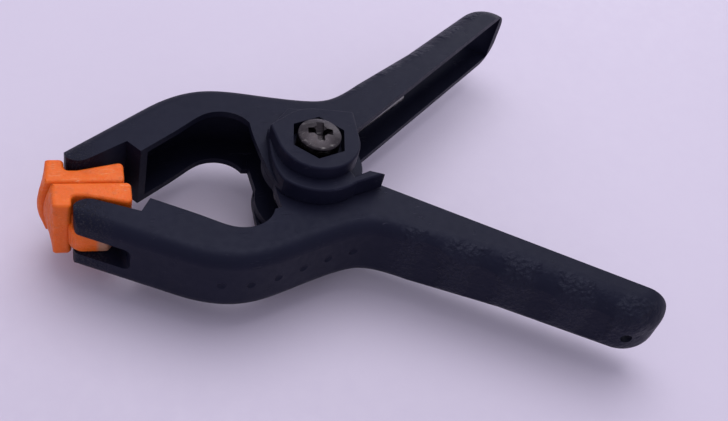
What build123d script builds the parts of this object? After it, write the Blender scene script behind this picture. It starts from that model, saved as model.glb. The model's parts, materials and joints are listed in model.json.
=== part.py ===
"""A small nylon spring clamp: two turned-over copies of one channel-section arm on a screw pivot,
a torsion spring between them, and two swivelling jaw pads.

The clamp is modelled lying flat and closed. X runs from the jaws (-X) to the handles (+X), the
pivot axis is vertical at X = Y = 0, and Z = 0 is the face of the lower boss. Only at the end are
the pieces moved, so that the bottom centre of the whole clamp's box is the origin.
"""
from build123d import *
import os
from math import cos, hypot, radians, sin

# ---- arm moulding, mm ----
arm_height = 11.7        # channel section, outer face of one cheek to outer face of the other
cheek = 1.1              # thickness of the two cheeks
back_wall = 1.7          # thickness of the back of the channel
back_round = 2.2         # rounding of the two long edges of the back, at the jaw
channel_round = 2.4      # rounding of the hollow's two corners inside the back
tip_round = 1.1          # outer corners of the prongs, seen from above
inner_tip_round = 2.5    # corner of the prongs next to the pad
edge_round = 0.35        # rounding of ears and boss
side_gap = 0.15          # clearance between one arm's cheek and the other arm's ear

# ---- jaws ----
jaw_length = 36.6        # pivot to the tip of the prongs
jaw_crown = 17.4         # highest point of the jaw's back above the centre line
throat_crown = 11.3      # highest point of the throat above the centre line
notch_depth = 2.8        # step where the pad's seat ends
prong_height = 3.7       # each of the two prongs
slot_length = 7.1        # depth of the slot between the prongs
bar_radius = 0.9         # cross bar between the prongs, which the pad swivels on

# ---- handles ----
handle_length = 40.9     # root of the handle's inner edge to the centre of its end
handle_angle = 35.5      # inner edge to the centre line, clamp closed
back_angle = 33.6        # outer edge to the centre line
end_radius = 6.2         # rounded end
waist = 13.7             # back of the arm beside the pivot
handle_round = 4.2       # rounding of the back's edges, from the grip to the end
grip_run = 15.0          # length over which the rounding grows to that
dips = 4                 # shallow hollows for the fingers
dip_start = 4.5          # first hollow to the end of the handle's straight back
dip_pitch = 9.0
dip_radius = 15.0
dip_depth = 0.35
end_hole_radius = 0.9    # small moulding hole near the handle's end
dimples = 6              # row of round marks along the back beside the pivot
dimple_radius = 0.7
dimple_depth = 0.3

# ---- ears and pivot ----
outer_ear_radius = 8.65
outer_ear = 3.1          # thickness of the outer ear, which lies on the other arm's cheek
inner_ear_radius = 7.9
inner_ear = 1.6          # thickness of the inner ear
boss_radius = 6.45
boss_height = 2.4        # boss above the outer ear
hex_flats = 7.8          # pocket for the nut, also seats the screw head
pocket_depth = 2.4
hex_turn = 13.9          # angle of the pocket's first corner

# ---- hardware ----
screw_radius = 2.0       # M4
screw_clearance = 0.05   # radial
head_radius = 3.35
head_rim = 3.1           # straight side of the head
head_height = 3.9
recess_width = 4.2       # cross recess, tip to tip
recess_wing = 1.15       # thickness of the driver's wings
recess_depth = 1.7
recess_turn = -13.0
nut_flats = 7.0
nut_height = 2.2         # thin M4 nut, flush with the boss

# ---- spring ----
wire = 1.5
coil_outer = 5.05        # outside radius of the coil
coil_radius = coil_outer - wire / 2
coil_pitch = wire + 0.13
coil_turns = 3
leg_length = 0.8 * handle_length

# ---- pads ----
pad_gap = 0.06           # half of the gap between the closed pads
pad_thickness = 2.44
pad_heel = 4.0           # thickness at the pad's inner end
pad_left = 2.8           # overhang beyond the prong tips, at the pad's top and bottom
pad_bulge = 1.4          # how far the middle of the pad's end stands out beyond that
pad_length = 11.0
pad_head = 4.6           # thickness of the pad's head, beyond the prong tips
head_gap = 0.2           # head to prong tips
pad_yaw = -6.0           # the closed pair rests turned this far on the bars
pad_inset = 1.1          # pad's top below the arm's top
pad_round = 0.7
lug_gap = 0.2            # lug to prongs
lug_radius = 2.3         # eye round the bar
lug_tail = 4.2           # tail beyond the bar
bar_clearance = 0.1

# ---- levels, worked out from the sizes above ----
other_rise = cheek + side_gap                    # one arm lies this much above the other
ear_rise = outer_ear - cheek                     # outer ear above its own cheek
low = boss_height + ear_rise + other_rise        # underside of the upper arm
high = low + arm_height                          # top of the upper arm
ear_top = high + ear_rise
boss_top = ear_top + boss_height
mid = boss_top / 2                               # the arms are turned over about this level
slot_low, slot_high = low + prong_height, high - prong_height
bar_at = (-jaw_length + 1.6, pad_gap + pad_thickness + 1.8)


def polar(radius, angle):
    """A point at a radius and an angle in degrees from the pivot."""
    return (radius * cos(radians(angle)), radius * sin(radians(angle)))


def along(point, angle, distance):
    """The point reached from another by going a distance at an angle in degrees."""
    return (point[0] + distance * cos(radians(angle)), point[1] + distance * sin(radians(angle)))


# ---- the arm's outline, seen from above, on the +Y side of the centre line ----
handle_root = (8.1, 4.8)
end_centre = along(handle_root, handle_angle, handle_length + 2.9)
back_end = along(end_centre, back_angle + 90, end_radius)
back_start = along(back_end, back_angle + 180, handle_length - 7.5)
inner_end = along(end_centre, handle_angle, end_radius)
tip_back = (-jaw_length, 6.3)
tip_inner = (-jaw_length + 1.8, pad_gap + pad_thickness + 0.25)
jaw_back = along(tip_back, 31.4, 0.42 * jaw_length)
notch = (-0.75 * jaw_length, 6.35)
notch_foot = along(notch, -54, notch_depth)
throat_top = (-0.36 * jaw_length, throat_crown)
throat_end = (-8.2, 8.4)


def back_line():
    """The arm's back, from the prong's tip to the rounded end of the handle."""
    crown = (-0.37 * jaw_length, jaw_crown)
    saddle = (3.0, waist)
    jaw = Line(tip_back, jaw_back)
    crown_curve = Spline(
        jaw_back, crown, (-5.6, (jaw_crown + waist) / 2 + 0.25), saddle, back_start,
        tangents=[jaw % 1, (cos(radians(back_angle)), sin(radians(back_angle)))])
    return jaw, crown_curve, Line(back_start, back_end)


def outline():
    """The whole arm as a flat face."""
    jaw, crown_curve, handle = back_line()
    end = CenterArc(end_centre, end_radius, handle_angle, back_angle + 90 - handle_angle)
    inner = [
        Line(inner_end, handle_root),
        Line(handle_root, (2.0, 7.0)),
        Line((2.0, 7.0), throat_end),
        Spline(throat_end, throat_top, along(notch_foot, 32, 6.5),
               tangents=[(-0.45, 1.0), (-cos(radians(32)), -sin(radians(32)))]),
        Line(along(notch_foot, 32, 6.5), notch_foot),
        Line(notch_foot, notch),
        Line(notch, tip_inner),
        Line(tip_inner, (-jaw_length, tip_inner[1] + 1.2)),
        Line((-jaw_length, tip_inner[1] + 1.2), tip_back),
    ]
    return make_face(Wire([jaw, crown_curve, handle, end] + inner))


def rounded_tip(face):
    """The outline with the prongs' corners rounded."""
    outer = [v for v in face.vertices() if v.X < 0.5 - jaw_length]
    face = fillet(outer, tip_round)
    inner = [v for v in face.vertices() if v.X < 2.5 - jaw_length and v.Y < tip_inner[1] + 0.05]
    return fillet(inner, inner_tip_round)


def prism(face, bottom, top):
    """A flat face as a solid between two levels."""
    return extrude(Pos(0, 0, bottom) * face, amount=top - bottom, dir=(0, 0, 1))


def channel_void(face):
    """What is hollow between the cheeks: all but the back, the jaw block and the handle's end."""
    back = Wire(list(back_line()))
    band = trace(back, 2 * back_wall)
    beyond = Pos(*end_centre) * Rot(0, 0, handle_angle) * Pos(end_radius, 0) * Rectangle(
        2 * end_radius, 4 * end_radius)
    end_cap = beyond - Pos(*end_centre) * Circle(end_radius - back_wall)
    jaw_block = Pos(-jaw_length, 10) * Rectangle(2 * (jaw_length + notch_foot[0] + 1.2), 40)
    hollow = face - band - end_cap - jaw_block
    return max(hollow.faces(), key=lambda f: f.area)


def outer_ear_face(left):
    """The outer ear: a ring round the front of the boss, ending in a thin stop tab. left is the edge
    towards the throat, from its far end to the ring."""
    start = polar(outer_ear_radius, -140)
    stop = polar(outer_ear_radius, -60)
    tab = (9.3, -6.3)
    corners = [stop, tab, (7.1, -5.3), (4.4, -6.2), (4.0, -4.8)]
    flank = (6.2, 0.6)
    edges = [
        Spline(*left, start, tangents=[(-0.1, -1.0), (0.45, -1.0)]),
        ThreePointArc(start, polar(outer_ear_radius, -100), stop),
        *Polyline(*corners).edges(),
        ThreePointArc(corners[-1], polar(6.2, -22), flank),
        Line(flank, handle_root),
        Line(handle_root, (6.8, 7.4)),
        Line((6.8, 7.4), (-2.0, 9.2)),
        Line((-2.0, 9.2), left[0]),
    ]
    return make_face(Wire(edges))


def boss_face():
    """The boss: a disc with a corner towards the handle and one towards the throat."""
    disc = Circle(boss_radius)
    toes = [Pos(6.7, 4.7) * Circle(0.4), Pos(-6.3, 3.4) * Circle(0.4)]
    return make_hull([e for part in [disc] + toes for e in part.edges()])


def hex_prism(flats, turn, bottom, top):
    """A hexagonal prism on the pivot axis."""
    return prism(RegularPolygon(flats / 2, 6, major_radius=False, rotation=turn), bottom, top)


def near_back(edge):
    """True for an edge on the back of the arm or round the end of its handle."""
    spot = edge @ 0.5
    back = Wire(list(back_line()))
    flat = Vector(spot.X, spot.Y, 0)
    on_back = back.distance_to(Vertex(*flat)) < 0.05
    on_end = abs(hypot(spot.X - end_centre[0], spot.Y - end_centre[1]) - end_radius) < 0.05
    return on_back or on_end


def beyond(distance):
    """Everything from a line across the handle, this far along the back, to past its end."""
    start = along(back_start, back_angle, distance)
    return prism(Pos(*start) * Rot(0, 0, back_angle) * Pos(50, 0) * Rectangle(100, 60), low - 1, high + 1)


def back_section(distance, radius, wall=0, skin=0):
    """The arm's section across the handle, or its hollow's: its two back corners are rounded."""
    direction = Vector(cos(radians(back_angle)), sin(radians(back_angle)), 0)
    inward = Vector(direction.Y, -direction.X, 0)
    middle = Vector(*back_start, (high + low) / 2)
    across = Plane(origin=middle + direction * distance + inward * wall, x_dir=inward, z_dir=direction)
    section = Pos(15, 0) * Rectangle(30, arm_height - 2 * skin)
    return across * fillet(section.vertices().group_by(Axis.X)[0], radius)


def rounded_body(face, radius):
    """The outline as a block, its back edges rounded."""
    body = prism(face, low, high)
    flat_edges = [e for e in body.edges() if abs((e @ 0).Z - (e @ 1).Z) < 1e-6]
    return fillet([e for e in flat_edges if near_back(e)], radius)


def outer_shape(face):
    """The arm without its hollow: the rounding of the back grows towards the grip."""
    jaw = rounded_body(face, back_round) - beyond(0)
    growing = loft([back_section(0, back_round), back_section(grip_run, handle_round)])
    growing = prism(face, low, high) & growing
    grip = rounded_body(face, handle_round) & beyond(grip_run)
    return (jaw + growing + grip) & prism(rounded_tip(face), low, high)


def upper_arm():
    """The arm on the +Y side, with its outer ear and boss on top."""
    face = outline()
    body = outer_shape(face)
    void = prism(channel_void(face), low + cheek, high - cheek)
    tunnel = extrude(back_section(0, channel_round, back_wall, cheek), amount=2 * handle_length)
    body = body - (void - beyond(0)) - (void & tunnel)
    slot = extrude(Plane.XZ * RectangleRounded(40, slot_high - slot_low, 1.0), amount=60, both=True)
    body -= Pos(-jaw_length + slot_length - 20, 0, (slot_low + slot_high) / 2) * slot
    body += Pos(*bar_at, mid) * Cylinder(bar_radius, slot_high - slot_low + 0.4)

    # hollows for the fingers, marks beside the pivot, and the moulding hole
    for i in range(dips):
        spot = along(back_end, back_angle + 180, dip_start + i * dip_pitch)
        body -= Pos(*along(spot, back_angle + 90, dip_radius - dip_depth)) * Cylinder(dip_radius, 60)
    crown = back_line()[1]
    ball = (dimple_radius ** 2 + dimple_depth ** 2) / (2 * dimple_depth)
    for i in range(dimples):
        at = 0.17 + 0.115 * i
        spot, heading = crown @ at, crown % at
        outward = Vector(-heading.Y, heading.X, 0) * (ball - dimple_depth)
        body -= Pos(*(spot + outward + Vector(0, 0, mid + 0.6))) * Sphere(ball)
    hole = Rot(0, 0, 111) * Pos(end_radius, 0, 0) * Rot(0, 90, 0) * Cylinder(end_hole_radius, 5)
    body -= Pos(*end_centre, mid + 1.0) * hole

    # the outer ear and its boss, rounded before they join the arm
    plate = prism(outer_ear_face([throat_end, (-8.2, 3.3)]), high - cheek, high)
    ear = prism(outer_ear_face([(-6.4, 5.0), (-7.0, 1.5)]), high - cheek, ear_top)
    ear = plate + fillet(ear.edges().filter_by_position(Axis.Z, ear_top, ear_top), edge_round)
    boss = prism(boss_face(), ear_top - 0.5, boss_top)
    boss = fillet(boss.edges().filter_by_position(Axis.Z, boss_top, boss_top), edge_round)
    inner = prism(Circle(inner_ear_radius) + Pos(0, 5) * Rectangle(2 * inner_ear_radius - 1.5, 9),
                  low, low + inner_ear)
    body = body + ear + boss + inner

    bore = Cylinder(screw_radius + screw_clearance, 4 * arm_height)
    pocket = hex_prism(hex_flats, hex_turn, boss_top - pocket_depth, boss_top + 1)
    return body - bore - pocket


def turned_over(solid):
    """The same piece turned over about the centre line, for the other side of the clamp."""
    return Pos(0, 0, mid) * Rot(180, 0, 0) * Pos(0, 0, -mid) * solid


def yawed(solid, bar):
    """A pad turned to its resting angle on its bar."""
    return Pos(*bar) * Rot(0, 0, pad_yaw) * Pos(-bar[0], -bar[1]) * solid


def upper_pad():
    """The jaw pad on the +Y side: a plate with a thick head and a lug on the arm's bar."""
    left = -jaw_length - pad_left
    tip = left - pad_bulge
    right = left + pad_length
    top, bottom = high - pad_inset, boss_top - high + pad_inset
    end = ThreePointArc((left, bottom), (tip, mid), (left, top))
    side = make_face(Wire([end, *Polyline((left, top), (right, top), (right, bottom), (left, bottom)).edges()]))
    block = extrude(Plane.XZ * side, amount=-2 * pad_head)
    block = fillet(block.edges().filter_by(Axis.Y), pad_round)
    back = pad_gap + pad_thickness
    neck = -jaw_length - head_gap
    plan = Polyline((tip, pad_gap), (right, pad_gap), (right, pad_gap + pad_heel), (bar_at[0], back),
                    (neck, back), (neck, pad_head), (tip + 1.4, pad_head), (tip, pad_gap))
    plan = make_face(plan)
    block = block & prism(fillet(plan.vertices(), 0.5), bottom, top)
    across = RectangleRounded(pad_head - pad_gap, top - bottom, pad_round)
    across = extrude(Plane.YZ * across, amount=2 * jaw_length, both=True)
    block = block & Pos(0, (pad_head + pad_gap) / 2, mid) * across

    lug_low, lug_high = slot_low + lug_gap, slot_high - lug_gap
    outer = bar_at[1] + lug_radius
    tail_end = bar_at[0] + lug_tail
    tail = Polyline((bar_at[0] - lug_radius, back - 0.3), (tail_end, back - 0.3), (tail_end, outer - 1.9),
                    (tail_end - 1.4, outer), (bar_at[0], outer), (bar_at[0], bar_at[1]),
                    (bar_at[0] - lug_radius, bar_at[1]), (bar_at[0] - lug_radius, back - 0.3))
    lug = prism(make_face(tail) + Pos(*bar_at) * Circle(lug_radius), lug_low, lug_high)
    bore = Pos(*bar_at, mid) * Cylinder(bar_radius + bar_clearance, arm_height)
    return block + lug - bore


def pivot_screw():
    """A pan-head screw with a cross recess, its head on the floor of the upper pocket."""
    seat = boss_top - pocket_depth
    end = pocket_depth - nut_height
    top = seat + head_height
    shank = Pos(0, 0, (seat + end) / 2) * Cylinder(screw_radius, seat - end)
    shank = chamfer(shank.edges().sort_by(Axis.Z)[0], 0.4)
    side = Polyline((0, top), (0, seat), (head_radius, seat), (head_radius, seat + head_rim))
    crown = ThreePointArc((head_radius, seat + head_rim), (0.55 * head_radius, top - 0.2), (0, top))
    head = revolve(Plane.XZ * make_face(Wire([*side.edges(), crown])), Axis.Z)
    rim = head.edges().filter_by_position(Axis.Z, seat + head_rim, seat + head_rim)
    head = fillet(rim, 0.4)
    wing = Polyline((-recess_width / 2, top), (recess_width / 2, top), (recess_wing / 2, top - recess_depth),
                    (-recess_wing / 2, top - recess_depth), (-recess_width / 2, top))
    wing = extrude(Plane.XZ * make_face(wing), amount=recess_wing / 2, both=True)
    recess = Rot(0, 0, recess_turn) * (wing + Rot(0, 0, 90) * wing)
    core = Pos(0, 0, top + 0.5) * Sphere(0.5 + 0.7 * recess_wing)
    return shank + head - core - recess


def hex_nut():
    """A thin nut in the lower pocket, bored to the thread's outer size."""
    body = hex_prism(nut_flats, -hex_turn, pocket_depth - nut_height, pocket_depth)
    return body - Cylinder(screw_radius, 3 * pocket_depth)


def torsion_spring():
    """One wire: a straight leg in each handle's channel and the coil round the screw between."""
    lead = back_angle + 90
    rise = coil_pitch * (coil_turns + (360 - 2 * lead) / 360)
    coil = Pos(0, 0, mid - rise / 2) * Rot(0, 0, lead) * Helix(coil_pitch, rise, coil_radius)
    low_leg = Line(coil @ 0 + Vector(*along((0, 0), back_angle, leg_length)), coil @ 0)
    high_leg = Line(coil @ 1, coil @ 1 + Vector(*along((0, 0), -back_angle, leg_length)))
    path = Wire([low_leg.edge(), coil.edge(), high_leg.edge()])
    section = Plane(origin=path @ 0, z_dir=path % 0) * Circle(wire / 2)
    return sweep(section, path=path, transition=Transition.TRANSFORMED)


rear_arm = upper_arm()
pad = upper_pad()
pieces = {
    "rear_arm": rear_arm,
    "front_arm": turned_over(rear_arm),
    "rear_pad": yawed(pad, bar_at),
    "front_pad": yawed(turned_over(pad), (bar_at[0], -bar_at[1])),
    "pivot_screw": pivot_screw(),
    "hex_nut": hex_nut(),
    "torsion_spring": torsion_spring(),
}

box = Compound(children=[Compound(p.solids()) for p in pieces.values()]).bounding_box()
shift = Pos(-box.center().X, -box.center().Y, -box.min.Z)
print("whole clamp, mm:", [round(v, 2) for v in (box.size.X, box.size.Y, box.size.Z)])
print("pivot at, mm:", [round(v, 3) for v in (-box.center().X, -box.center().Y, mid - box.min.Z)])
print("bar at, mm:", [round(bar_at[0] - box.center().X, 3), round(bar_at[1] - box.center().Y, 3)])

os.makedirs("parts", exist_ok=True)
for name, piece in pieces.items():
    moved = shift * piece
    moved.label = name
    export_step(moved, f"parts/{name}.step")
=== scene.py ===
"""The looks of a small nylon spring clamp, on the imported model's own frame."""
import json
import bpy
import numpy as np
from math import cos, pi, radians, sin
from mathutils import Matrix, Vector


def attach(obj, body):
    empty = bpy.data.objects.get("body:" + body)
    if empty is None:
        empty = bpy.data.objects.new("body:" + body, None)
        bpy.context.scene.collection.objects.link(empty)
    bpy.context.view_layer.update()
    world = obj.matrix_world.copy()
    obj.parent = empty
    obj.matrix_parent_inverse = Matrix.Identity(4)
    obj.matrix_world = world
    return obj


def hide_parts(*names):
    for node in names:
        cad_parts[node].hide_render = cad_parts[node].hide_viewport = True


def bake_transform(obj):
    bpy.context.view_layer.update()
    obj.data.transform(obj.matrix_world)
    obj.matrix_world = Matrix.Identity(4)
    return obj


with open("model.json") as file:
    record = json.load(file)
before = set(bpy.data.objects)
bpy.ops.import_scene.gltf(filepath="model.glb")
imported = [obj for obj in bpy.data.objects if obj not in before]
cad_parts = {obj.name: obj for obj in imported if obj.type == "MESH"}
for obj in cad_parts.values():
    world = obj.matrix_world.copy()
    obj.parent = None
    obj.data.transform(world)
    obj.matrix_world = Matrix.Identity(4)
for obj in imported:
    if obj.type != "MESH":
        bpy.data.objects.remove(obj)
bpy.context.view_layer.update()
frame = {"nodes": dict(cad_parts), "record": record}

MM = 0.001

# Lengths are in mm. The jaw pad is drawn for the rear arm, with its places counted from the pivot.
BACK = radians(33.6)                   # the handles' outer edge, to the centre line
COIL, WIRE, PITCH, LEG = 4.3, 1.5, 1.63, 32.7    # the torsion spring's radius, wire, rise per turn and leg
TURNS, COIL_STEPS = 3, 260             # whole turns of the spring, and points along its coil
DIP_AT, DIP_PITCH = 22.1, 9.0          # finger hollows: one's place along the handle, and their spacing
GRIP_START, GRIP_FULL = 14.0, 20.0     # where the pebbles begin along the handle, and where they are full
WORN_START, WORN_FULL = -31.0, -35.5   # where the wear begins along the prongs, and where it is full
PAD_TIP, PAD_LEFT, PAD_NECK, PAD_RIGHT = -40.8, -39.4, -36.8, -28.4    # places along the jaw
PAD_GAP, PAD_BACK, PAD_HEEL, PAD_HEAD = 0.06, 2.5, 4.06, 4.6           # places across the jaw
PAD_SLOPE = 1.4                        # how far the head's corner stands back from the pad's tip
PAD_HALF, PAD_ROUND, PAD_CORNER = 5.375, 0.5, 0.72    # half the pad's height; edges' and corners' rounding
PAD_YAW = radians(-6)                  # how far the closed pads stand turned on their bars
RIDGE_DEPTH, RIDGE_WIDTH = 0.07, 0.55  # the ridges on the pad's end
LUG_TAIL, LUG_EYE, LUG_FRONT = 4.2, 2.3, 2.1    # the lug's walls, from the bar's middle
LUG_SLANT, LUG_SLANT_AT = (0.805, 0.593), 3.96  # the way the lug's sloping wall faces, and its distance
LUG_HALF, LUG_BORE, LUG_EDGE = 1.95, 1.0, 0.25  # half the lug's height; its bore and its edges' bevel
LUG_LEVEL = 0.625                      # the middle of the rear arm's slot, above the middle of the pivot

joints = {j["name"]: j for j in frame["record"]["behaviour"]["joints"]}
PIVOT = Vector(joints["jaw_hinge"]["pos_m"])
# the rear arm's cross bar, from the pivot
BAR_AT = np.subtract(joints["rear_pad_swivel"]["pos_m"], joints["jaw_hinge"]["pos_m"])[:2] / MM


# ---------------------------------------------------------------- camera and light

def add_camera():
    """Looks down over the front arm from the jaws' side, tilted to the right."""
    elevation, azimuth, roll = radians(46.7), radians(31.4), radians(18.0)
    distance, aim_height, shift_right, shift_down = 154.5 * MM, 6.475 * MM, 7.7 * MM, 8.2 * MM
    right = Vector((cos(azimuth), -sin(azimuth), 0))
    ahead = Vector((sin(azimuth), cos(azimuth), 0))
    look = ahead * cos(elevation) - Vector((0, 0, sin(elevation)))
    up = ahead * sin(elevation) + Vector((0, 0, cos(elevation)))
    tilted_right = right * cos(roll) + up * sin(roll)
    tilted_up = up * cos(roll) - right * sin(roll)
    aim = PIVOT + Vector((0, 0, aim_height))
    spot = aim - look * distance + tilted_right * shift_right - tilted_up * shift_down
    data = bpy.data.cameras.new("camera")
    data.lens, data.sensor_width, data.clip_start = 49.5, 36, 0.005
    camera = bpy.data.objects.new("camera", data)
    bpy.context.collection.objects.link(camera)
    turned = Matrix((tilted_right, tilted_up, -look)).transposed()
    camera.matrix_world = Matrix.Translation(spot) @ turned.to_4x4()
    bpy.context.scene.camera = camera


def area_light(name, spot, size, watts, tint=(1, 1, 1)):
    """A round soft light, in metres and watts, aimed at the frame's origin under the clamp."""
    data = bpy.data.lights.new(name, "AREA")
    data.shape, data.size, data.energy, data.color = "DISK", size, watts, tint
    light = bpy.data.objects.new(name, data)
    light.location = spot
    light.rotation_euler = (-Vector(spot)).to_track_quat("-Z", "Y").to_euler()
    bpy.context.collection.objects.link(light)


add_camera()
area_light("key", spot=(0.05, 0.13, 0.42), size=0.42, watts=1.05, tint=(1, 0.985, 1))
area_light("back", spot=(0.34, 0.36, 0.20), size=0.25, watts=0.30, tint=(0.95, 0.95, 1))
world = bpy.data.worlds.new("world")
bpy.context.scene.world = world
world.use_nodes = True
background = world.node_tree.nodes["Background"]
background.inputs["Color"].default_value = (0.80, 0.78, 0.88, 1)
background.inputs["Strength"].default_value = 0.74
bpy.context.scene.view_settings.view_transform = "Standard"


# ---------------------------------------------------------------- materials

class Look:
    """A procedural material, in millimetres from the pivot."""

    def __init__(self, name):
        self.material = bpy.data.materials.new(name)
        self.material.use_nodes = True
        self.tree = self.material.node_tree
        self.shader = self.tree.nodes["Principled BSDF"]
        spot = self.put("ShaderNodeTexCoord").outputs["Object"]
        spot = self.vector("SUBTRACT", spot, tuple(PIVOT))
        self.mm = self.put("ShaderNodeVectorMath", {0: spot, "Scale": 1000.0}, operation="SCALE").outputs[0]
        self.normal = self.put("ShaderNodeNewGeometry").outputs["Normal"]

    def feed(self, socket, value):
        """Links a node's output to the socket, or sets the socket to a plain value."""
        if isinstance(value, bpy.types.NodeSocket):
            self.tree.links.new(value, socket)
        else:
            socket.default_value = value

    def put(self, kind, inputs=None, **settings):
        node = self.tree.nodes.new(kind)
        for key, value in settings.items():
            setattr(node, key, value)
        for key, value in (inputs or {}).items():
            self.feed(node.inputs[key], value)
        return node

    def vector(self, operation, a, b):
        return self.put("ShaderNodeVectorMath", {0: a, 1: b}, operation=operation).outputs[0]

    def dot(self, a, b):
        return self.put("ShaderNodeVectorMath", {0: a, 1: b}, operation="DOT_PRODUCT").outputs["Value"]

    def math(self, operation, a, b=0.0, c=0.0):
        return self.put("ShaderNodeMath", {0: a, 1: b, 2: c}, operation=operation).outputs[0]

    def plus(self, a, b):
        return self.math("ADD", a, b)

    def minus(self, a, b):
        return self.math("SUBTRACT", a, b)

    def times(self, a, b):
        return self.math("MULTIPLY", a, b)

    def ramp(self, value, low, high, start=0.0, end=1.0):
        """value's way from low to high as a smooth step from start to end."""
        limits = {"From Min": low, "From Max": high, "To Min": start, "To Max": end}
        return self.put("ShaderNodeMapRange", {"Value": value, **limits},
                        interpolation_type="SMOOTHSTEP").outputs["Result"]

    def noise(self, scale, detail=3.0, rough=0.55, at=None):
        return self.put("ShaderNodeTexNoise", {"Vector": at or self.mm, "Scale": scale, "Detail": detail,
                                               "Roughness": rough}).outputs["Fac"]

    def cells(self, scale, at=None, feature="F1"):
        return self.put("ShaderNodeTexVoronoi", {"Vector": at or self.mm, "Scale": scale},
                        feature=feature).outputs["Distance"]

    def blend(self, amount, a, b):
        a, b = [(*c, 1) if isinstance(c, tuple) else c for c in (a, b)]
        return self.put("ShaderNodeMix", {0: amount, 6: a, 7: b}, data_type="RGBA").outputs[2]

    def scratches(self, along, density, width=0.012):
        """Thin broken lines roughly along a direction, where a stretched noise crosses its middle."""
        squeezed = self.put("ShaderNodeMapping", {"Vector": self.mm, "Rotation": (0, 0, -along),
                                                  "Scale": (0.09, 1.3, 1.3)}).outputs[0]
        line = self.math("ABSOLUTE", self.minus(self.noise(1.0, 2.0, 0.5, squeezed), 0.5))
        broken = self.ramp(self.noise(0.35, 2.0), 0.62 - density, 0.72 - density)
        return self.times(self.ramp(line, width, 0.0), broken)

    def finish(self, color, roughness, height=None, depth=0.05, **others):
        """Feeds the shader. The height becomes bumps, depth mm for a height of one."""
        for key, value in {"Base Color": color, "Roughness": roughness, **others}.items():
            self.feed(self.shader.inputs[key], (*value, 1) if isinstance(value, tuple) else value)
        if height is not None:
            bump = self.put("ShaderNodeBump", {"Height": height, "Distance": depth * MM, "Strength": 1.0})
            self.tree.links.new(bump.outputs["Normal"], self.shader.inputs["Normal"])
        return self.material


def nylon(name, side):
    """Moulded black nylon: pebbled grip on the handle's back, worn prongs, fine grain elsewhere.
    side is 1 for the arm on the +Y side and -1 for the other."""
    black, faded = (0.0045, 0.0050, 0.0135), (0.0080, 0.0085, 0.0205)
    dust_grey, scratch_grey, speckle_grey = (0.16, 0.15, 0.19), (0.10, 0.10, 0.14), (0.08, 0.078, 0.10)
    # the first colour below is a painted highlight for the pebbles' crests; sheen is the specular tint
    painted_crest_highlight, sheen = (0.013, 0.014, 0.028), (0.72, 0.76, 1.0)
    look = Look(name)
    heading = (cos(BACK), side * sin(BACK), 0)
    outward = (-sin(BACK), side * cos(BACK), 0)
    run = look.dot(look.mm, heading)
    facing = look.dot(look.normal, outward)
    x = look.put("ShaderNodeSeparateXYZ", {0: look.mm}).outputs[0]

    # the grip: pebbles between smooth hollows
    phase = look.times(look.minus(run, DIP_AT), 2 * pi / DIP_PITCH)
    hollow = look.plus(look.times(look.math("COSINE", phase), 0.5), 0.5)
    ragged = look.plus(hollow, look.times(look.minus(look.noise(0.30), 0.5), 1.6))
    rough_patch = look.ramp(ragged, 0.95, 0.20)
    on_grip = look.times(look.ramp(run, GRIP_START, GRIP_FULL), look.ramp(facing, 0.05, 0.45))
    pebble_mask = look.times(on_grip, look.math("MAXIMUM", rough_patch, 0.12))
    pebble = look.minus(1.0, look.cells(1.35, feature="SMOOTH_F1"))
    pebble = look.plus(pebble, look.times(look.noise(2.2, 4.0), 0.6))
    # painted highlight: the pebbles' crests, which are painted lighter below so they show even in shade
    crest_highlight_mask = look.times(look.ramp(pebble, 0.85, 1.25), pebble_mask)
    lumps = look.times(look.noise(0.55, 3.0), on_grip)

    # the prongs' worn, speckled ends, and the wear everywhere
    worn_end = look.ramp(x, WORN_START, WORN_FULL)
    speckle = look.times(worn_end, look.ramp(look.noise(3.4, 4.0, 0.7), 0.5, 0.64))
    grain = look.noise(9.0, 4.0, 0.7)
    dust = look.ramp(look.noise(6.0, 5.0, 0.75), 0.66, 0.76)
    scratch = look.math("MAXIMUM", look.scratches(side * BACK, 0.05), look.scratches(-0.5 * side, 0.0, 0.008))

    color = look.blend(look.noise(0.16, 3.0), black, faded)
    color = look.blend(look.times(dust, 0.12), color, dust_grey)
    color = look.blend(look.times(scratch, 0.22), color, scratch_grey)
    color = look.blend(look.times(speckle, 0.45), color, speckle_grey)
    # painted highlight: the pebbles' crests are lightened in colour, standing in for light catching them
    color = look.blend(look.times(crest_highlight_mask, 0.45), color, painted_crest_highlight)
    height = look.plus(look.times(pebble, look.times(pebble_mask, 1.8)), look.times(grain, 0.04))
    height = look.plus(height, look.times(lumps, 0.8))
    height = look.plus(height, look.times(speckle, 0.5))
    height = look.minus(height, look.times(scratch, 0.15))
    rough = look.ramp(look.noise(0.8, 4.0), 0.3, 0.7, 0.44, 0.54)
    rough = look.plus(rough, look.times(look.plus(speckle, scratch), 0.12))
    shine = look.plus(0.15, look.times(pebble_mask, 0.07))
    return look.finish(color, rough, height, 0.22, **{"Specular IOR Level": shine, "Specular Tint": sheen})


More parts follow.
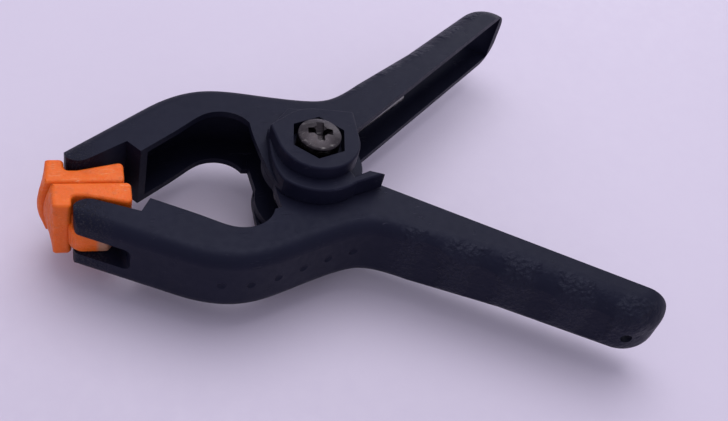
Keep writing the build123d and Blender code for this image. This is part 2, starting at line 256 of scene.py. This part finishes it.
def orange(name):
    """Soft orange plastic: scuffed faces, a ridged end, a worn pale tail on the lug."""
    deep, bright, grime_brown = (0.72, 0.105, 0.004), (0.86, 0.160, 0.008), (0.36, 0.055, 0.010)
    scuff_pale, pit_dark = (0.92, 0.30, 0.09), (0.22, 0.05, 0.02)
    scratch_pale, worn_grey = (0.85, 0.42, 0.22), (0.36, 0.24, 0.17)
    fine_ridge = 0.42    # mm
    look = Look(name)
    place = look.put("ShaderNodeSeparateXYZ", {0: look.mm}).outputs
    facing = look.put("ShaderNodeSeparateXYZ", {0: look.normal}).outputs
    end = look.ramp(facing[0], -0.5, -0.8)
    ridges = look.times(look.math("SINE", look.times(place[1], 2 * pi / fine_ridge)), end)
    scuff = look.ramp(look.noise(1.6, 5.0, 0.7), 0.50, 0.72)
    outside = look.ramp(look.math("ABSOLUTE", place[1]), 5.0, 6.2)
    tail = look.times(outside, look.ramp(place[0], -33.9, -33.0))
    worn = look.times(tail, look.ramp(look.noise(1.1, 4.0, 0.65), 0.15, 0.40))
    grime = look.ramp(look.noise(0.7, 4.0, 0.6), 0.48, 0.75)
    pits = look.ramp(look.noise(5.0, 4.0, 0.7), 0.60, 0.70)
    scratch = look.scratches(0.2, 0.1)

    color = look.blend(look.noise(0.35, 3.0), deep, bright)
    color = look.blend(look.times(grime, 0.35), color, grime_brown)
    color = look.blend(look.times(scuff, 0.15), color, scuff_pale)
    color = look.blend(look.times(pits, 0.35), color, pit_dark)
    color = look.blend(look.times(scratch, 0.4), color, scratch_pale)
    color = look.blend(look.times(worn, 0.8), color, worn_grey)
    height = look.plus(look.times(ridges, 0.55), look.times(look.noise(3.0, 5.0), 0.8))
    height = look.minus(height, look.times(pits, 0.3))
    rough = look.ramp(look.noise(1.2, 4.0), 0.3, 0.7, 0.38, 0.62)
    return look.finish(color, rough, height, 0.08, **{
        "Subsurface Weight": 0.15, "Subsurface Scale": 0.0012, "Specular IOR Level": 0.35})


def steel(name, dark, light, grain):
    """Handled steel: uneven patches, brown stains, pale specks and scratches. grain is how strongly the
    finest noise stands out."""
    stain_brown, speck_grey, scratch_grey = (0.11, 0.055, 0.030), (0.40, 0.37, 0.36), (0.55, 0.53, 0.52)
    look = Look(name)
    patch = look.noise(0.9, 4.0)
    stain = look.ramp(look.noise(1.8, 5.0, 0.7), 0.60, 0.78)
    specks = look.ramp(look.noise(7.0, 4.0, 0.7), 0.62, 0.72)
    scratch = look.scratches(0.6, 0.15, 0.02)
    color = look.blend(patch, dark, light)
    color = look.blend(look.times(stain, 0.5), color, stain_brown)
    color = look.blend(look.times(specks, 0.4), color, speck_grey)
    color = look.blend(look.times(scratch, 0.4), color, scratch_grey)
    height = look.plus(look.times(look.noise(4.0, 5.0, 0.65), 0.9), look.times(look.noise(14.0, 2.0), grain))
    height = look.minus(height, look.times(scratch, 0.3))
    rough = look.plus(look.ramp(patch, 0.3, 0.7, 0.28, 0.46), look.times(stain, 0.25))
    metal = look.minus(1.0, look.times(stain, 0.6))
    return look.finish(color, rough, height, 0.03, Metallic=metal)


def paper(name):
    """The pale lilac table top, faintly clouded and flecked."""
    lilac, pale_lilac, fleck = (0.60, 0.545, 0.685), (0.635, 0.58, 0.72), (0.5, 0.47, 0.6)
    look = Look(name)
    color = look.blend(look.noise(0.02, 3.0), lilac, pale_lilac)
    color = look.blend(look.times(look.noise(2.0, 4.0), 0.05), color, fleck)
    return look.finish(color, look.ramp(look.noise(0.5), 0.3, 0.7, 0.55, 0.7), look.noise(3.0, 3.0), 0.01)


# ---------------------------------------------------------------- pieces

def new_object(name, points, faces, material):
    """Puts the points and faces into one mesh. Faces with four corners are smooth; the others stay flat."""
    mesh = bpy.data.meshes.new(name)
    mesh.from_pydata(np.asarray(points, float).tolist(), [], faces)
    corners = np.empty(len(mesh.polygons), np.int32)
    mesh.polygons.foreach_get("loop_total", corners)
    mesh.polygons.foreach_set("use_smooth", corners == 4)
    mesh.materials.append(material)
    thing = bpy.data.objects.new(name, mesh)
    bpy.context.collection.objects.link(thing)
    return thing


def walls(rows, sides, closed=False):
    """Faces between each row of points and the next, round a ring: row i's point j joins the next point round
    and the next row's two. closed also joins the last row to the first."""
    i, j = np.mgrid[0:rows if closed else rows - 1, 0:sides]
    below, after = (i + 1) % rows, (j + 1) % sides
    corners = [i * sides + j, i * sides + after, below * sides + after, below * sides + j]
    return np.stack(corners, -1).reshape(-1, 4)


def sleeve(rows, sides):
    """A closed sleeve's faces: its walls, and one face over each end."""
    first = np.arange(sides)[::-1]
    last = (rows - 1) * sides + np.arange(sides)
    return walls(rows, sides).tolist() + [first.tolist(), last.tolist()]


def tube(path, radius, sides=20):
    """A round wire: at each point of the path, a circle in the plane across it, smaller at the two ends."""
    end_size, next_size = 0.45, 0.85
    along = np.gradient(path, axis=0)
    along /= np.linalg.norm(along, axis=1)[:, None]
    across = np.cross(along, (0, 0, 1.0))
    across /= np.linalg.norm(across, axis=1)[:, None]
    third = np.cross(along, across)
    size = np.full(len(path), radius)
    size[[0, -1]] = end_size * radius
    size[[1, -2]] = next_size * radius
    turn = np.linspace(0, 2 * pi, sides, endpoint=False)
    ring = across[:, None] * np.cos(turn)[None, :, None] + third[:, None] * np.sin(turn)[None, :, None]
    points = path[:, None] + ring * size[:, None, None]
    return points.reshape(-1, 3), sleeve(len(path), sides)


def rounded_loop(corners, radius, per_corner=9, per_side=14):
    """A closed outline: each corner becomes an arc of the radius, tangent to both its sides, and each side
    is divided evenly. Gives the points and the outward normals, anticlockwise."""
    corners = np.asarray(corners, float)
    to_last = np.roll(corners, 1, 0) - corners
    to_next = np.roll(corners, -1, 0) - corners
    a = to_last / np.linalg.norm(to_last, axis=1)[:, None]
    b = to_next / np.linalg.norm(to_next, axis=1)[:, None]
    opening = np.arccos(np.clip((a * b).sum(1), -1, 1))
    middle = (a + b) / np.linalg.norm(a + b, axis=1)[:, None]
    centre = corners + middle * (radius / np.sin(opening / 2))[:, None]
    reach = (radius / np.tan(opening / 2))[:, None]
    start, stop = corners + a * reach - centre, corners + b * reach - centre
    first = np.arctan2(start[:, 1], start[:, 0])
    sweep = (np.arctan2(stop[:, 1], stop[:, 0]) - first + pi) % (2 * pi) - pi
    angle = first[:, None] + sweep[:, None] * np.linspace(0, 1, per_corner)
    arcs = centre[:, None] + radius * np.stack([np.cos(angle), np.sin(angle)], -1)
    share = np.linspace(0, 1, per_side + 2)[1:-1, None]
    sides = arcs[:, -1:] + (np.roll(arcs[:, 0], -1, 0)[:, None] - arcs[:, -1:]) * share
    points = np.concatenate([arcs, sides], 1).reshape(-1, 2)
    tangent = np.roll(points, -1, 0) - np.roll(points, 1, 0)
    tangent /= np.linalg.norm(tangent, axis=1)[:, None]
    return points, np.stack([tangent[:, 1], -tangent[:, 0]], -1)


def pad_block():
    """The pad's plate and head: the plan outline at each level, drawn in by a quarter circle at the top and
    bottom, its end bowed out as a parabola and ridged as a sine of the distance across."""
    plan = [(PAD_TIP, PAD_GAP), (PAD_RIGHT, PAD_GAP), (PAD_RIGHT, PAD_HEEL), (BAR_AT[0], PAD_BACK),
            (PAD_NECK, PAD_BACK), (PAD_NECK, PAD_HEAD), (PAD_TIP + PAD_SLOPE, PAD_HEAD)]
    points, normal = rounded_loop(plan, PAD_CORNER)
    flat_part = PAD_HALF - PAD_ROUND
    edge = PAD_HALF - PAD_ROUND * (1 - np.cos(np.linspace(0, pi / 2, 8)))
    level = np.concatenate([-edge, np.linspace(-flat_part, flat_part, 25)[1:-1], edge[::-1]])
    near_edge = np.clip(np.abs(level) - flat_part, 0, PAD_ROUND) / PAD_ROUND
    inset = PAD_ROUND * (1 - np.sqrt(1 - near_edge ** 2))
    on_end = np.clip(-normal[:, 0] * 3 - 2, 0, 1)
    ridge = RIDGE_DEPTH * np.sin(2 * pi * points[:, 1] / RIDGE_WIDTH) * on_end
    out = ridge[None, :] * (1 - near_edge[:, None]) - inset[:, None]
    flat = points[None] + normal[None] * out[..., None]
    bow = (level / PAD_HALF)[:, None] ** 2
    x = np.where(flat[..., 0] < PAD_LEFT, PAD_LEFT + (flat[..., 0] - PAD_LEFT) * (1 - bow), flat[..., 0])
    x = np.where(points[None, :, 0] < PAD_LEFT, x + inset[:, None] * np.clip(-normal[:, 0], 0, 1), x)
    grid = np.stack([x, flat[..., 1], np.broadcast_to(level[:, None], x.shape)], -1)
    return grid.reshape(-1, 3), sleeve(len(level), len(points))


def pad_lug():
    """The eye and tail between the prongs: rays from the bar meet the nearest of the straight walls, and the
    eye is a quarter circle. The outer wall, the top, the bore's wall and the bottom close into one ring."""
    turn = np.linspace(0, 2 * pi, 96, endpoint=False)
    ray = np.stack([np.cos(turn), np.sin(turn)], -1)
    facing_and_reach = np.array([(1, 0, LUG_TAIL), (0, 1, LUG_EYE), (*LUG_SLANT, LUG_SLANT_AT),
                                 (0, -1, LUG_FRONT), (-1, 0, LUG_EYE)])
    toward = np.maximum(ray @ facing_and_reach[:, :2].T, 1e-6)
    reach = (facing_and_reach[:, 2] / toward).min(1)
    reach = np.where((turn > pi / 2) & (turn < pi), LUG_EYE, reach)
    bore = np.full_like(reach, LUG_BORE)
    rows = [(reach - LUG_EDGE, -LUG_HALF), (reach, LUG_EDGE - LUG_HALF), (reach, LUG_HALF - LUG_EDGE),
            (reach - LUG_EDGE, LUG_HALF), (bore, LUG_HALF), (bore, -LUG_HALF)]
    grid = np.stack([np.column_stack([ray * r[:, None], np.full(len(turn), z)]) for r, z in rows])
    grid[..., :2] += BAR_AT
    grid[..., 2] += LUG_LEVEL
    return grid.reshape(-1, 3), walls(len(rows), len(turn), closed=True)


def jaw_pad(side, body, material):
    """A whole pad: plate and lug. side -1 turns it over for the front arm, and both are then turned on their
    bars to the resting angle."""
    block, block_faces = pad_block()
    lug, lug_faces = pad_lug()
    points = np.concatenate([block, lug]) * (1, side, side)
    faces = block_faces + (lug_faces + len(block)).tolist()
    bar = BAR_AT * (1, side)
    c, s = cos(PAD_YAW), sin(PAD_YAW)
    points[:, :2] = (points[:, :2] - bar) @ np.array([[c, s], [-s, c]]) + bar
    pad = new_object(f"jaw_pad_{body}", points * MM + np.array(PIVOT), faces, material)
    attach(pad, body)
    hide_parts(body)


def torsion_spring(material):
    """One wire: a straight leg along each handle and a helix of about three and a third turns between them,
    the rear leg lowest. The legs' points crowd together at their free ends, which taper."""
    lead = BACK + pi / 2
    turns = TURNS + (2 * pi - 2 * lead) / (2 * pi)
    rise = PITCH * turns
    t = np.linspace(0, 1, COIL_STEPS)
    angle = lead + 2 * pi * turns * t
    coil = np.column_stack([COIL * np.cos(angle), COIL * np.sin(angle), rise * (t - 0.5)])
    share = np.array([0, 0.004, 0.01, 0.25, 0.5, 0.75, 0.97])
    rear_leg = coil[0] + LEG * (1 - share)[:, None] * np.array([cos(BACK), sin(BACK), 0])
    front_leg = coil[-1] + LEG * (1 - share[::-1])[:, None] * np.array([cos(BACK), -sin(BACK), 0])
    path = np.vstack([rear_leg, coil, front_leg]) * MM + np.array(PIVOT)
    points, faces = tube(path, WIRE / 2 * MM)
    spring = new_object("spring_wire", points, faces, material)
    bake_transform(spring)
    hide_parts("torsion_spring")


def floor():
    """The square table top that the clamp lies on, its half width in metres."""
    half = 2
    corners = [(-half, -half, 0), (half, -half, 0), (half, half, 0), (-half, half, 0)]
    sheet = new_object("floor", corners, [(0, 1, 2, 3)], paper("paper"))


looks = {
    "front_arm": nylon("nylon front", -1),
    "rear_arm": nylon("nylon rear", 1),
    "pivot_screw": steel("screw steel", (0.022, 0.019, 0.024), (0.070, 0.062, 0.068), 0.2),
    "hex_nut": steel("nut steel", (0.045, 0.042, 0.048), (0.14, 0.13, 0.14), 0.2),
}
for node, material in looks.items():
    materials = frame["nodes"][node].data.materials
    materials.clear()
    materials.append(material)
jaw_pad(1, "rear_pad", orange("orange rear"))
jaw_pad(-1, "front_pad", orange("orange front"))
torsion_spring(steel("spring steel", (0.20, 0.195, 0.20), (0.42, 0.41, 0.41), 0.5))
floor()
